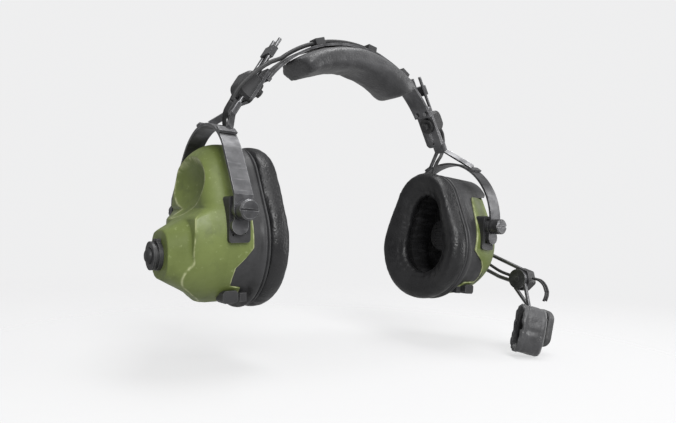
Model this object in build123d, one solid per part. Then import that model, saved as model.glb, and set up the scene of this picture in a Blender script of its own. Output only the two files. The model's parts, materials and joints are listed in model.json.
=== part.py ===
from build123d import *
import os
from math import sin, cos, tan, radians, sqrt

# Communication headset with hearing protection, in millimetres.
# Origin: midway between the two ear cushions.  +X: towards the wearer's left ear (the boom side).
# -Y: the way the wearer faces.  +Z: up.  Everything paired is drawn once for the +X side and mirrored.

os.makedirs("parts", exist_ok=True)

# ---- driving dimensions ------------------------------------------------------------------
FACE_X = 73.4            # ear cushion face, from the middle of the head
CANT = 3.0               # tops of the cups lean outward, degrees
# egg-shaped outlines: upper circle radius and height, lower circle radius and height
CUSHION_EGG = (30.0, 23.0, 43.7, -9.3)
DOME_EGG = (31.5, 23.5, 44.3, -5.0)
WALL = 2.5               # dome wall
GAP = 0.1                # clearance between pieces of one body
CUSHION_T = 16.0         # ear cushion thickness
SEAL_U = 18.6            # back of the cushion carrier, where the dome starts
SKIRT_T = 1.2            # skirt thickness
DOME_IN = 1.3            # dome wall lies this far inside the cup outline
# dome sections: distance outward from the cushion face, and how far the outline has shrunk
DOME_LEFT = [(SEAL_U, 0.0), (42.0, 0.5), (50.0, 2.4), (58.0, 6.5), (66.0, 13.0), (71.0, 20.0), (74.0, 27.0)]
DOME_RIGHT = [(SEAL_U, 0.0), (42.0, 0.6), (55.0, 2.2), (60.0, 5.0)]

ARCH_Z = 45.0            # centre of the head arch
BAND_R = 95.0            # outer face of the spring band
BAND_T = 1.8
BAND_W = 18.0
BAND_DEG = 55.2          # the arch ends this far from the top
CLAMP_DEG = 60.0         # the clamps sit this far from the top
PAD_R = 77.5             # underside of the headpad
PAD_HALF = 20.5
PAD_DEG = 38.5

ROD_R = 1.3
ROD_GAP = 8.4            # between the axes of a pair of slide rods
ROD_AT = 100.8           # rods run on a straight line this far from the arch centre
ROD_T0, ROD_T1 = -41.0, 24.0     # rod ends, along the line from the clamp centre
BLOCK_R = 108.5          # outer face of the clamp block
SCREW_R = 1.6
RUN = 0.08               # radial running clearance

YOKE_X = 112.0
# yoke profile: radius of the top arc's middle line, height of its centre, and the angle where it runs
# on in straight slanted lines (0: a plain half circle that runs straight into the arms)
YOKE_SHAPE = {"left": (50.0, 12.5, 0.0), "right": (38.2, 25.2, 31.8)}
YOKE_ARM = 50.0          # the arms hang straight down this far from the middle
YOKE_T = 1.8
YOKE_W = 11.7
PIVOT_X, PIVOT_Z = 111.2, 8.4
HEAD_R, HEAD_L = 6.0, 7.0        # pivot screw head
SHANK_R = 2.5
LEG_Y = {"left": (-27.0, 22.0), "right": (-23.0, 8.0)}   # where the stirrup legs meet the yoke

TRACK_Z, TRACK_W, TRACK_H = 5.0, 13.5, 27.0      # a track plate's middle height and its size
TRACK_Y = 45.2           # outer face of a track plate
SLOT_W, SLOT_D = 7.6, 3.0
SLOT_Z0, SLOT_Z1 = -3.5, 16.0

KNOB_Y, KNOB_Z, KNOB_U = -14.0, -16.0, 70.5      # volume knob seat on the right dome
SNOUT_U = 74.0
SCOOP_AT, SCOOP_R = (72.0, -1.0, 29.0), 26.0     # oval scoop in the right dome's upper face
SCOOP_WIDE = 1.38                                # it is wider than tall by this much

BOOM_Y, BOOM_Z = 0.0, -13.0      # boom swivel on the left dome
ROD_U = 78.0             # plane of the boom rods
BOOM_R = 1.6
BLOCK_Y, BLOCK_Z = -51.0, -30.0  # middle of the boom block
MIC_P = (138.0, -66.0, -57.0)    # microphone pivot
MIC_TILT = 15.0

CABLE_R = 1.5
LEAD_R = 0.9
END_GAP = 0.7            # a cable stretch stops this far short of the next one

NODES = []


# ---- helpers -----------------------------------------------------------------------------
def save(name, shape):
    """Write one node."""
    NODES.append(name)
    export_step(shape, "parts/" + name + ".step")


def box(x0, x1, y0, y1, z0, z1):
    """Box between two corners."""
    middle = ((x0 + x1) / 2, (y0 + y1) / 2, (z0 + z1) / 2)
    return Pos(*middle) * Box(abs(x1 - x0), abs(y1 - y0), abs(z1 - z0))


def rod(p, q, r):
    """Round bar between two points."""
    p, q = Vector(*p), Vector(*q)
    return extrude(Plane(origin=p, z_dir=q - p) * Circle(r), amount=(q - p).length)


def flat_bar(p, q, wide, thick, side):
    """Flat bar between two points; its wide face runs along side."""
    p, q = Vector(*p), Vector(*q)
    return extrude(Plane(origin=p, x_dir=side, z_dir=q - p) * Rectangle(wide, thick), amount=(q - p).length)


def disc(y0, y1, x, z, r):
    """Round piece with its axis along Y."""
    return rod((x, y0, z), (x, y1, z), r)


def group(*solids):
    """Several separate solids in one node."""
    return Compound(children=[s for shape in solids for s in shape.solids()])


def egg(shape, grow, u):
    """Egg outline at distance u from the cushion face, grown outward by grow."""
    top_r, top_z, low_r, low_z = shape
    r1, r2 = top_r + grow, low_r + grow
    nz = (r2 - r1) / (top_z - low_z)
    ny = sqrt(1 - nz * nz)
    a = (r1 * ny, top_z + r1 * nz)
    b = (r2 * ny, low_z + r2 * nz)
    edges = [
        ThreePointArc((-a[0], a[1]), (0, top_z + r1), a),
        Line(a, b),
        ThreePointArc(b, (0, low_z - r2), (-b[0], b[1])),
        Line((-b[0], b[1]), (-a[0], a[1])),
    ]
    return Plane.YZ.offset(u) * Face(Wire(edges))


def egg_block(shape, grow, u0, u1):
    """Straight-sided block with an egg outline."""
    return extrude(egg(shape, grow, u0), amount=u1 - u0, dir=(1, 0, 0))


def dome_body(sections, grow):
    """Domed block through the sections."""
    return loft([egg(DOME_EGG, grow - DOME_IN - shrink, u) for u, shrink in sections], ruled=True)


def route(points):
    """Straight runs joined by arcs that are as large as their runs allow."""
    pts = [Vector(*p) for p in points]
    radii = []
    for a, b, c in zip(pts, pts[1:], pts[2:]):
        turn = (b - a).get_angle(c - b)
        radii.append(0.45 * min((b - a).length, (c - b).length) / tan(radians(turn / 2)))
    print("  radii", [round(r, 1) for r in radii])
    return FilletPolyline(*pts, radius=radii) if radii else Line(*pts)


def along(p, q, distance):
    """Point at a distance from p towards q."""
    p, q = Vector(*p), Vector(*q)
    return tuple(p + (q - p).normalized() * distance)


def cable(points, r):
    """Round cable along a route, a hair short of it at both ends."""
    points = [along(points[0], points[1], END_GAP), *points[1:-1], along(points[-1], points[-2], END_GAP)]
    path = route(points)
    return sweep(Plane(origin=path @ 0, z_dir=path % 0) * Circle(r), path=path)


def arch(r, degrees_from_top, y):
    """Point on the head arch."""
    a = radians(degrees_from_top)
    return (r * sin(a), y, ARCH_Z + r * cos(a))


def arch_strip(r_in, r_out, half_deg, y0, y1):
    """Curved strip of the head arch."""
    def at(r, a):
        point = arch(r, a, 0)
        return (point[0], point[2])
    d = half_deg
    edges = [
        ThreePointArc(at(r_out, -d), at(r_out, 0), at(r_out, d)),
        Line(at(r_out, d), at(r_in, d)),
        ThreePointArc(at(r_in, d), at(r_in, 0), at(r_in, -d)),
        Line(at(r_in, -d), at(r_out, -d)),
    ]
    face = Plane.XZ.offset(-y0) * Face(Wire(edges))
    return extrude(face, amount=y1 - y0, dir=(0, 1, 0))


# frames for the +X side
CUP = Pos(FACE_X, 0, 0) * Rot(0, CANT, 0)        # x: outward from the cushion face
DOWN = (cos(radians(CLAMP_DEG)), 0, -sin(radians(CLAMP_DEG)))
OUT = (sin(radians(CLAMP_DEG)), 0, cos(radians(CLAMP_DEG)))
CLAMP = Plane(origin=(0, 0, ARCH_Z), x_dir=DOWN, z_dir=OUT).location     # x: down the rods, z: radius


def cup_point(u, y, z):
    """World position of a point given in the cup frame of the +X side."""
    return tuple((CUP * Pos(u, y, z)).position)


def clamp_point(t, y, r):
    """World position of a point given in the clamp frame of the +X side."""
    return tuple((CLAMP * Pos(t, y, r)).position)


def place(side, shape):
    """Put a shape drawn for the +X side on its own side."""
    return shape if side == "left" else mirror(shape, about=Plane.YZ)


# ---- head side ---------------------------------------------------------------------------
RIVET_T, RIVET_R = -11.0, 1.0


def rivet_holes():
    """Bores for the rivets of both clamps."""
    holes = [rod(clamp_point(RIVET_T, y, 80), clamp_point(RIVET_T, y, 110), RIVET_R + 0.05)
             for y in (-5.0, 5.0)]
    return holes + [mirror(hole, about=Plane.YZ) for hole in holes]


def headband_spring():
    """Flat spring arch, bored for the rivets."""
    band = arch_strip(BAND_R - BAND_T, BAND_R, BAND_DEG, -BAND_W / 2, BAND_W / 2)
    for hole in rivet_holes():
        band -= hole
    return band


def headpad():
    """Padded leather sleeve under the band that bulges out past its two edges."""
    pad = arch_strip(PAD_R, BAND_R - BAND_T - 0.2, PAD_DEG, -PAD_HALF, PAD_HALF)
    for group_at, radius in ((0, 6.0), (-1, 8.5)):
        arcs = pad.edges().filter_by(GeomType.CIRCLE).filter_by(lambda e: e.radius > 20)
        pad = fillet(arcs.group_by(lambda e: round(e.radius, 2))[group_at], radius)
    return pad


CLIP_DEG = (-21.0, 8.0, 30.0)      # cable clips along the band
CLIP_Y = -3.0
TOP_CABLE_R = BAND_R + CABLE_R + 0.8


def cable_clips():
    """Low bridges on the band that hold the crossover cable."""
    clips = []
    for deg in CLIP_DEG:
        frame = Plane(origin=(0, 0, ARCH_Z), x_dir=(cos(radians(deg)), 0, -sin(radians(deg))),
                      z_dir=(sin(radians(deg)), 0, cos(radians(deg)))).location
        clip = box(-4, 4, CLIP_Y - 4, CLIP_Y + 4, BAND_R + 0.5, TOP_CABLE_R + CABLE_R + 1.2)
        clips.append(frame * clip - top_cable_solid(CABLE_R + 0.1))
    return group(*clips)


TOP_CABLE_DEG = (-42.0, 36.0)


def top_cable_solid(r):
    """Cable lying along the top of the band."""
    a, b = TOP_CABLE_DEG
    a, b = a + 0.3, b - 0.3
    path = ThreePointArc(arch(TOP_CABLE_R, a, CLIP_Y), arch(TOP_CABLE_R, (a + b) / 2, CLIP_Y),
                         arch(TOP_CABLE_R, b, CLIP_Y))
    return sweep(Plane(origin=path @ 0, z_dir=path % 0) * Circle(r), path=path)


def band_rivets():
    """Rivets through the band ends and the clamp plates."""
    rivets = []
    for y in (-5.0, 5.0):
        head = rod(clamp_point(RIVET_T, y, 91.2), clamp_point(RIVET_T, y, 92.2), 1.6)
        rivet = head + rod(clamp_point(RIVET_T, y, 92), clamp_point(RIVET_T, y, PLATE_R1 - 0.1), RIVET_R)
        rivets += [rivet, mirror(rivet, about=Plane.YZ)]
    return group(*rivets)


# ---- clamps and slides -------------------------------------------------------------------
PLATE_R0, PLATE_R1 = BAND_R + 0.1, BAND_R + 2.3


CLAMP_INNER_T1 = {"left": 20.0, "right": 13.0}
CLAMP_OUTER_T = {"left": (-10.0, 7.5), "right": (-7.5, 12.0)}


def clamp_inner(side):
    """Plate between the band end and the block, with rounded corners and a slot below the screw."""
    end = CLAMP_INNER_T1[side]
    plate = box(-16, end, -8.5, 8.5, PLATE_R0, PLATE_R1)
    plate = fillet(plate.edges().filter_by(Axis.Z), 3.5)
    plate -= box(7.5, end - 2.5, -1.2, 1.2, PLATE_R0 - 1, PLATE_R1 + 1)
    plate = CLAMP * (plate - Cylinder(SCREW_R + RUN, 400))
    for hole in rivet_holes()[:2]:
        plate -= hole
    return plate


def clamp_outer(side):
    """Rounded block that the slide rods run through."""
    block = box(*CLAMP_OUTER_T[side], -7.5, 7.5, PLATE_R1 + GAP, BLOCK_R)
    block = fillet(block.edges().filter_by(Axis.Y).group_by(Axis.Z)[-1], 6)
    block = chamfer(block.edges().filter_by(Axis.Z), 2.0)
    for y in (-ROD_GAP / 2, ROD_GAP / 2):
        block -= Pos(0, y, ROD_AT) * Rot(0, 90, 0) * Cylinder(ROD_R + RUN, 60)
    screw_hole = Pos(0, 0, 50) * Cylinder(SCREW_R + RUN, 2 * (ROD_AT + 5 - 50), align=(Align.CENTER,) * 3)
    return CLAMP * (block - screw_hole)


def thumb_screw():
    """Boss and small knurled head inside the plate, shank into the block between the rods."""
    boss_r0, boss_r1, head_r0 = 93.1, BAND_R - 0.05, 90.2
    boss = Pos(0, 0, (boss_r0 + boss_r1) / 2) * Cylinder(6.5, boss_r1 - boss_r0)
    head = Pos(0, 0, (head_r0 + boss_r0) / 2) * Cylinder(3.1, boss_r0 - head_r0)
    for k in range(10):
        cut = Pos(3.25, 0, (head_r0 + boss_r0) / 2) * Cylinder(0.5, boss_r0 - head_r0)
        head -= Rot(0, 0, 36 * k) * cut
    shank_end = ROD_AT + 4.5
    shank = Pos(0, 0, (boss_r0 + shank_end) / 2) * Cylinder(SCREW_R, shank_end - boss_r0)
    return CLAMP * (head + boss + shank)


def slide_rods():
    """Two round rods with domed ends."""
    rods = []
    for y in (-ROD_GAP / 2, ROD_GAP / 2):
        bar = Pos((ROD_T0 + ROD_T1) / 2, y, ROD_AT) * Rot(0, 90, 0) * Cylinder(ROD_R, ROD_T1 - ROD_T0)
        rods.append(chamfer(bar.edges().filter_by(GeomType.CIRCLE), 0.4))
    return CLAMP * group(*rods)


def rod_keeper():
    """Small plate that ties the rods together near their upper ends."""
    keeper = box(-33, -25, -6.2, 6.2, ROD_AT - 2.2, ROD_AT + 2.2)
    keeper = chamfer(keeper.edges().filter_by(Axis.X), 0.6)
    for y in (-ROD_GAP / 2, ROD_GAP / 2):
        keeper -= Pos(-29, y, ROD_AT) * Rot(0, 90, 0) * Cylinder(ROD_R + 0.02, 20)
    return CLAMP * keeper


def yoke_top_point(side, y, extra):
    """Point above the yoke's top arc, extra beyond its outer face."""
    radius, centre_z = YOKE_SHAPE[side][:2]
    reach = radius + YOKE_T / 2 + extra
    return (YOKE_X - 2.0, y, centre_z + sqrt(reach * reach - y * y))


def stirrup_legs(side):
    """Hub on the rods' lower ends with two flat legs that spread down to the yoke."""
    hub = box(17, 27, -6.2, 6.2, ROD_AT - 2.4, ROD_AT + 2.4)
    hub = fillet(hub.edges().filter_by(Axis.X), 1.6)
    legs = CLAMP * hub
    for y_top, y_foot in zip((-3.8, 3.8), LEG_Y[side]):
        start = clamp_point(25, y_top, ROD_AT)
        foot = yoke_top_point(side, y_foot, 2.2)
        legs = legs + flat_bar(start, foot, 4.4, 1.8, (0.8, 0, 0.6))
    for y in (-ROD_GAP / 2, ROD_GAP / 2):
        legs -= CLAMP * (Pos((17 + ROD_T1) / 2 - 5, y, ROD_AT) * Rot(0, 90, 0)
                         * Cylinder(ROD_R + 0.02, ROD_T1 - 17 + 10.04))
    return (legs - leg_clips(side)).solids().sort_by(SortBy.VOLUME)[-1]


def leg_clips(side):
    """Low clips that hold the legs' feet on the yoke."""
    clips = []
    for y in LEG_Y[side]:
        lean = y / (YOKE_SHAPE[side][0] + YOKE_T / 2)
        y0, z0 = yoke_top_point(side, y, 0.1)[1:]
        frame = Plane(origin=(YOKE_X, y0, z0), x_dir=(1, 0, 0),
                      z_dir=(0, lean, sqrt(1 - lean * lean))).location
        clips.append(frame * box(-6.0, 6.0, -2.6, 2.6, 0.25, 1.8))
    return group(*clips)


def yoke_line(side, grow):
    """Kink, touching point and crown of the yoke strip, grown from its middle line."""
    radius, centre_z, lean = YOKE_SHAPE[side]
    a = radians(lean)
    r = radius + grow
    touch = (r * cos(a), centre_z + r * sin(a))
    arm = YOKE_ARM + grow
    kink = (arm, touch[1] - (arm - touch[0]) / tan(a) if lean else touch[1] - 1.0)
    return kink, touch, (0, centre_z + r)


def yoke(side):
    """Flat band bent over the cup, with round-ended arms."""
    kink, touch, crown = yoke_line(side, YOKE_T / 2)
    kink_in, touch_in, crown_in = yoke_line(side, -YOKE_T / 2)

    def back(point):
        return (-point[0], point[1])
    edges = [
        Line((kink[0], PIVOT_Z), kink), Line(kink, touch), ThreePointArc(touch, crown, back(touch)),
        Line(back(touch), back(kink)), Line(back(kink), (-kink[0], PIVOT_Z)),
        Line((-kink[0], PIVOT_Z), (-kink_in[0], PIVOT_Z)), Line((-kink_in[0], PIVOT_Z), back(kink_in)),
        Line(back(kink_in), back(touch_in)), ThreePointArc(back(touch_in), crown_in, touch_in),
        Line(touch_in, kink_in), Line(kink_in, (kink_in[0], PIVOT_Z)),
        Line((kink_in[0], PIVOT_Z), (kink[0], PIVOT_Z)),
    ]
    strip = Plane.YZ.offset(YOKE_X - YOKE_W / 2) * Face(Wire(edges))
    band = extrude(strip, amount=YOKE_W, dir=(1, 0, 0))
    for sign in (-1, 1):
        y0, y1 = sorted((sign * kink_in[0], sign * kink[0]))
        band = band + disc(y0, y1, PIVOT_X, PIVOT_Z, YOKE_W / 2 - 1.0)
        band = band + disc(y0, y1, YOKE_X, PIVOT_Z, YOKE_W / 2)
        band -= disc(-70, 70, PIVOT_X, PIVOT_Z, SHANK_R + RUN)
    return band


# ---- pivots and tracks -------------------------------------------------------------------
PAD_Y0, PAD_Y1 = 45.6, 48.7      # slider lobes, between the track plate and the yoke arm


def pivot_screws():
    """Slotted screws through the yoke arms into the track sliders."""
    screws = []
    head_y0 = YOKE_ARM + YOKE_T / 2 + 0.35
    for sign in (-1, 1):
        head = disc(sign * head_y0, sign * (head_y0 + HEAD_L), PIVOT_X, PIVOT_Z, HEAD_R)
        outer = head.edges().filter_by(GeomType.CIRCLE).sort_by(Axis.Y)[0 if sign < 0 else -1]
        head = chamfer(outer, 0.8)
        tip = sign * (head_y0 + HEAD_L)
        head -= box(PIVOT_X - 10, PIVOT_X + 10, tip - 1.4, tip + 1.4, PIVOT_Z - 0.6, PIVOT_Z + 0.6)
        screws.append(head + disc(sign * PAD_Y0, sign * head_y0, PIVOT_X, PIVOT_Z, SHANK_R))
    return group(*screws)


def track_sliders():
    """Figure-of-eight lobes under the screws, with a key that runs in the track slot."""
    pieces = []
    u, z = cup_pivot()
    for sign in (-1, 1):
        lobes = disc(sign * PAD_Y0, sign * PAD_Y1, PIVOT_X, PIVOT_Z, 6.2)
        lobes += disc(sign * PAD_Y0, sign * PAD_Y1, PIVOT_X + 1.0, PIVOT_Z - 9.0, 5.2)
        lobes += box(PIVOT_X - 4, PIVOT_X + 5, sign * PAD_Y0, sign * PAD_Y1, PIVOT_Z - 9, PIVOT_Z)
        lobes -= disc(sign * (PAD_Y0 - 1), sign * (PAD_Y1 + 1), PIVOT_X, PIVOT_Z, SHANK_R + 0.02)
        key = CUP * box(u - SLOT_W / 2 + 0.35, u + SLOT_W / 2 - 0.35, sign * (TRACK_Y - 2.4), sign * PAD_Y0,
                        z - 5, z + 1)
        pieces.append(lobes + key)
    return group(*pieces)


def cup_pivot():
    """Cup-frame position of the pivot axis."""
    a = radians(CANT)
    dx, dz = PIVOT_X - FACE_X, PIVOT_Z
    return (dx * cos(a) - dz * sin(a), dx * sin(a) + dz * cos(a))


def track_plates(sections):
    """Slotted plates on the dome's front and back that the sliders run in."""
    pieces = []
    u = cup_pivot()[0]
    body = dome_body(sections, GAP)
    for sign in (-1, 1):
        plate = box(u - TRACK_W / 2, u + TRACK_W / 2, sign * 30, sign * TRACK_Y,
                    TRACK_Z - TRACK_H / 2, TRACK_Z + TRACK_H / 2)
        plate = fillet(plate.edges().filter_by(Axis.Y), 2.0)
        plate -= box(u - SLOT_W / 2, u + SLOT_W / 2, sign * (TRACK_Y - SLOT_D), sign * (TRACK_Y + 1),
                     SLOT_Z0, SLOT_Z1)
        for k in range(7):
            z_tooth = TRACK_Z - 9 + 3 * k
            plate -= box(u + SLOT_W / 2 - 0.1, u + SLOT_W / 2 + 1.2, sign * (TRACK_Y - 1.2),
                         sign * (TRACK_Y + 1), z_tooth - 0.7, z_tooth + 0.7)
        pieces.append(plate - body)
    return CUP * group(*pieces)


# ---- ear cups ----------------------------------------------------------------------------
HOLE_TOP_R, HOLE_LOW_R = 16.0, 22.0      # ear opening in the cushion
HOLE_TOP_Z, HOLE_LOW_Z = 17.0, -9.0


def ear_hole(grow, u0, u1):
    """Egg-shaped ear opening as a block."""
    upper = Pos(u0, 0, HOLE_TOP_Z) * Rot(0, 90, 0) * Cylinder(HOLE_TOP_R + grow, u1 - u0,
                                                              align=(Align.CENTER, Align.CENTER, Align.MIN))
    lower = Pos(u0, 0, HOLE_LOW_Z) * Rot(0, 90, 0) * Cylinder(HOLE_LOW_R + grow, u1 - u0,
                                                              align=(Align.CENTER, Align.CENTER, Align.MIN))
    r1, r2 = HOLE_TOP_R + grow, HOLE_LOW_R + grow
    nz = (r2 - r1) / (HOLE_TOP_Z - HOLE_LOW_Z)
    ny = sqrt(1 - nz * nz)
    corners = [(r1 * ny, HOLE_TOP_Z + r1 * nz), (r2 * ny, HOLE_LOW_Z + r2 * nz),
               (-r2 * ny, HOLE_LOW_Z + r2 * nz), (-r1 * ny, HOLE_TOP_Z + r1 * nz)]
    web = Plane.YZ.offset(u0) * Face(Wire(Polyline(*corners, close=True).edges()))
    return upper + lower + extrude(web, amount=u1 - u0, dir=(1, 0, 0))


def cushion():
    """Ear seal ring."""
    ring = egg_block(CUSHION_EGG, 0, 0, CUSHION_T)
    ring = fillet(ring.faces().sort_by(Axis.X)[0].edges(), 6.5)
    ring = fillet(ring.faces().sort_by(Axis.X)[-1].edges(), 2.0)
    return CUP * (ring - ear_hole(0, -1, CUSHION_T + 1))


def skirt(sections, drill):
    """Black carrier behind the cushion with a stepped skirt over the dome's side wall."""
    plate = egg_block(CUSHION_EGG, -1.2, CUSHION_T + 0.05, SEAL_U - 0.05)
    plate += egg_block(CUSHION_EGG, 0, SEAL_U - 1.2, SEAL_U - 0.05)
    plate -= ear_hole(2, CUSHION_T - 1, SEAL_U + 1)
    outer = dome_body([(SEAL_U - 0.05, sections[0][1])] + [s for s in sections[1:]], DOME_IN)
    inner = dome_body([(SEAL_U - 1, sections[0][1])] + [s for s in sections[1:]], DOME_IN - SKIRT_T)
    edge = [(SEAL_U - 0.05, 60), (37, 60), (37, 44), (31, 38), (27, 35), (27, -12), (38.5, -21), (40, -34),
            (29, -36.5), (29, -42), (22, -46), (22, -60), (SEAL_U - 0.05, -60)]
    face = Plane.XZ * Face(Wire(Polyline(*edge, close=True).edges()))
    band = (outer - inner) & extrude(face, amount=80, both=True)
    return CUP * (plate + band - drill)


def foam_liner():
    """Foam cup inside the dome, open towards the ear."""
    outer = egg_block(DOME_EGG, -DOME_IN - WALL - 5.7, SEAL_U + 0.1, 42.5)
    pocket = ear_hole(1, SEAL_U - 1, 39)
    return CUP * (outer - pocket)


def earphone():
    """Earphone puck with a slotted grille, standing on the floor of the foam cup."""
    puck = Pos(31, 0, 2) * Rot(0, 90, 0) * Cylinder(14, 7.9, align=(Align.CENTER, Align.CENTER, Align.MIN))
    face = puck.faces().sort_by(Axis.X)[0]
    puck = chamfer(face.edges(), 1.2)
    for k in range(-3, 4):
        puck -= box(30, 32, -8, 8, 2 + 3 * k - 0.6, 2 + 3 * k + 0.6)
    return CUP * puck


def dome_left(drill):
    """Rounded dome of the boom side."""
    inner = [(SEAL_U - 1, 0)] + DOME_LEFT[1:4] + [(66.0, 14.5), (69.5, 20.0)]
    shell = dome_body(DOME_LEFT, 0) - dome_body(inner, -WALL)
    swivel_hole = rod((60, BOOM_Y, BOOM_Z), (90, BOOM_Y, BOOM_Z), 4.0)
    return CUP * (shell - swivel_hole - drill)


def snout(grow):
    """Cone that carries the knob on the right dome."""
    a = Plane.YZ.offset(57.0 - grow) * Pos(0, -6.0) * Circle(38.0 + grow)
    b = Plane.YZ.offset(66.0) * Pos(-13, -14.5) * Circle(20.0 + grow)
    c = Plane.YZ.offset(SNOUT_U + grow) * Pos(-14.5, -15.5) * Circle(15.5 + grow)
    return loft([a, b, c], ruled=True)


def scoop(grow):
    """Oval hollow that is taken out of the right dome."""
    return Pos(*SCOOP_AT) * scale(Sphere(SCOOP_R + grow), by=(1, SCOOP_WIDE, 1))


def dome_right(drill):
    """Dome of the knob side: scoop above, snout below with a seat for the knob."""
    outer = dome_body(DOME_RIGHT, 0) + snout(0) - scoop(0)
    hollow = dome_body([(SEAL_U - 1, 0), (42.0, 0.6), (51.0, 1.7)], -WALL)
    hollow += snout(-WALL) & box(50, 67.5, -60, 60, -60, 4)
    hollow -= scoop(WALL)
    seat = rod((KNOB_U, KNOB_Y, KNOB_Z), (90, KNOB_Y, KNOB_Z), 12.1)
    shaft = rod((50, KNOB_Y, KNOB_Z), (90, KNOB_Y, KNOB_Z), 3.2)
    return CUP * (outer - hollow - seat - shaft - drill)


def bottom_clips(sections):
    """Two small catches under the front of the dome's lower edge."""
    big = box(31, 41, -30, -20, -45.5, -38)
    big = chamfer(big.edges().filter_by(Axis.Y), 1.5)
    small = box(24, 28.5, -27, -21.5, -45.5, -39)
    return CUP * group(big - dome_body(sections, 0.1), small - dome_body(sections, DOME_IN + 0.15))


# ---- knob --------------------------------------------------------------------------------
def knob_part(u0, u1, r):
    """Round piece on the knob axis."""
    return rod((u0, KNOB_Y, KNOB_Z), (u1, KNOB_Y, KNOB_Z), r)


def knob_bezel():
    """Ring round the knob's seat."""
    ring = knob_part(KNOB_U + 0.05, KNOB_U + 2.6, 11.6) - knob_part(KNOB_U - 1, KNOB_U + 4, 9.4)
    return CUP * chamfer(ring.edges().filter_by(GeomType.CIRCLE).group_by(Axis.X)[-1], 0.7)


def volume_knob():
    """Barrel with two flanges, two lugs on top and a shaft into the dome."""
    knob = knob_part(KNOB_U + 0.4, KNOB_U + 6.0, 8.7)
    knob += knob_part(KNOB_U + 6.0, KNOB_U + 7.6, 7.2)
    knob += knob_part(KNOB_U + 7.6, KNOB_U + 9.0, 8.4)
    knob += knob_part(KNOB_U - 6.0, KNOB_U + 1.0, 3.0)
    for y in (-3.7, 1.2):
        knob += box(KNOB_U + 3.0, KNOB_U + 6.0, KNOB_Y + y, KNOB_Y + y + 2.5, KNOB_Z + 7, KNOB_Z + 9.8)
    return CUP * (knob - knob_part(KNOB_U + 4.0, KNOB_U + 20, 4.95))


def ptt_button():
    """Domed push button in the middle of the knob."""
    button = knob_part(KNOB_U + 6.2, KNOB_U + 11.6, 4.6)
    return CUP * fillet(button.faces().sort_by(Axis.X)[-1].edges(), 2.8)


# ---- boom microphone ---------------------------------------------------------------------
def boom_swivel_base():
    """Fixed boss on the dome that the swivel turns on."""
    boss = rod((74.1, BOOM_Y, BOOM_Z), (75.4, BOOM_Y, BOOM_Z), 9.5)
    post = rod((70, BOOM_Y, BOOM_Z), (80.2, BOOM_Y, BOOM_Z), 3.9)
    return CUP * (boss + post)


def boom_swivel():
    """Turning disc that holds the two boom rods."""
    body = rod((75.8, BOOM_Y, BOOM_Z), (81.4, BOOM_Y, BOOM_Z), 14.0)
    body = chamfer(body.faces().sort_by(Axis.X)[-1].edges(), 1.2)
    body -= rod((75, BOOM_Y, BOOM_Z), (80.3, BOOM_Y, BOOM_Z), 3.98)
    return CUP * body - boom_rods(0.03)


UPPER_ROD = [(-5.0, -7.3), (-50.0, -22.1)]
LOWER_ROD = [(-7.0, -22.8), (-27.0, -29.8), (-46.0, -33.6)]


def boom_rods(grow=0.0):
    """Two thin rods from the swivel to the boom block; the lower one is bent."""
    upper = rod((ROD_U, *UPPER_ROD[0]), (ROD_U, *UPPER_ROD[1]), BOOM_R + grow)
    path = FilletPolyline(*[(ROD_U, y, z) for y, z in LOWER_ROD], radius=30)
    lower = sweep(Plane(origin=path @ 0, z_dir=path % 0) * Circle(BOOM_R + grow), path=path)
    return CUP * group(upper, lower)


def boom_block():
    """Six-sided clamp on the ends of the boom rods."""
    outline = Plane.YZ.offset(ROD_U - 4.6) * Pos(BLOCK_Y, BLOCK_Z) * RegularPolygon(10.0, 6, rotation=15)
    block = extrude(outline, amount=9.2)
    block = fillet(block.edges().filter_by(Axis.X), 2.6)
    bore = rod((60, BLOCK_Y, BLOCK_Z), (100, BLOCK_Y, BLOCK_Z), 2.0 + RUN)
    return CUP * (block - bore) - boom_rods(0.03)


def elbow_screw():
    """Screw that holds the microphone arm on the block."""
    head = rod((ROD_U + 4.9, BLOCK_Y, BLOCK_Z), (ROD_U + 7.6, BLOCK_Y, BLOCK_Z), 5.0)
    head -= box(ROD_U + 6.6, ROD_U + 9, BLOCK_Y - 8, BLOCK_Y + 8, BLOCK_Z - 0.6, BLOCK_Z + 0.6)
    shank = rod((ROD_U - 8.6, BLOCK_Y, BLOCK_Z), (ROD_U + 5.0, BLOCK_Y, BLOCK_Z), 2.0)
    return CUP * (head + shank)


def mic_arm():
    """Disc on the inner side of the block, two short rods and the barrel of the microphone pivot."""
    plate = rod((ROD_U - 8.4, BLOCK_Y, BLOCK_Z), (ROD_U - 4.95, BLOCK_Y, BLOCK_Z), 8.0)
    arm = CUP * plate
    x, y, z = MIC_P
    for start in ((-49.0, -37.5), (-58.0, -34.0)):
        arm = arm + rod(cup_point(ROD_U - 6.7, *start), (x, y, z + 1.8), 1.5)
    arm = arm + disc(y - 3, y + 3, x, z, 3.0)
    arm -= CUP * rod((60, BLOCK_Y, BLOCK_Z), (100, BLOCK_Y, BLOCK_Z), 2.0 + RUN)
    return arm - disc(y - 9, y + 9, x, z, 1.5 + RUN)


MIC = Pos(*MIC_P) * Rot(0, MIC_TILT, 0)      # microphone frame, at its pivot


def mic_bracket():
    """Two ears and a bridge on the microphone, with the pivot pin through them."""
    ears = box(-2.6, 2.6, -6.2, -3.9, -9.0, 0) + box(-2.6, 2.6, 3.9, 6.2, -9.0, 0)
    ears += disc(-6.2, -3.9, 0, 0, 2.6) + disc(3.9, 6.2, 0, 0, 2.6)
    bridge = box(-2.6, 2.6, -6.2, 6.2, -9.0, -4.6)
    return MIC * (ears + bridge + disc(-6.2, 6.2, 0, 0, 1.5))


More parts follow.
